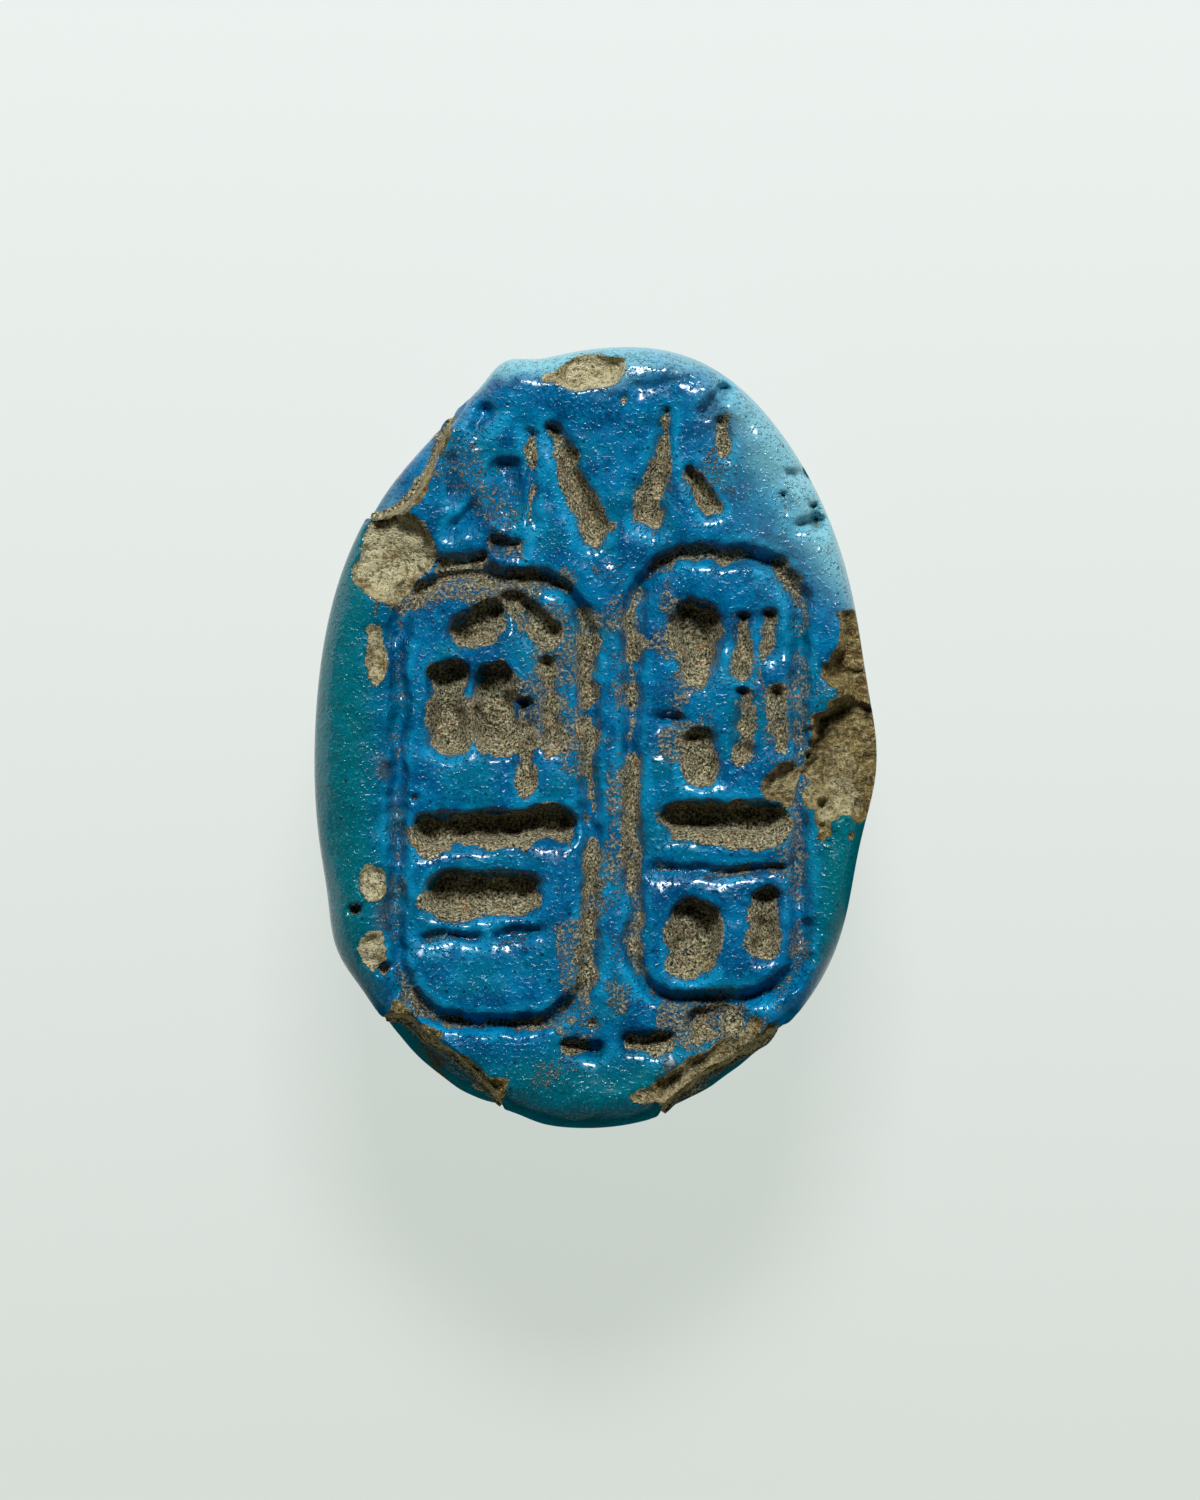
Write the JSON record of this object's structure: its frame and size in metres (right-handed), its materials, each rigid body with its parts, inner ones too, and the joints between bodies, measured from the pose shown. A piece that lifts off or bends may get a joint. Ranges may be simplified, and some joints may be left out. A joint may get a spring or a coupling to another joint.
{
  "type": "scarab amulet",
  "caption": "Small beetle-shaped amulet and seal, pierced lengthwise for a string, lying on its back with its carved oval seal face up.",
  "frame": {"origin": "middle of the part's box on the resting plane, which touches the small flat spot of the wing cases", "axes": "+Z out of the seal face, +Y towards the beetle's head and the top of the seal's design, +X to the right of the seal face seen from above"},
  "size_m": [0.0144, 0.02, 0.009],
  "materials": {
    "glazed_faience": "blue alkaline glaze over a sandy quartz core, worn and chipped, with soil in the carving"
  },
  "bodies": {
    "root": {"scarab": "glazed_faience"}
  },
  "joints": []
}
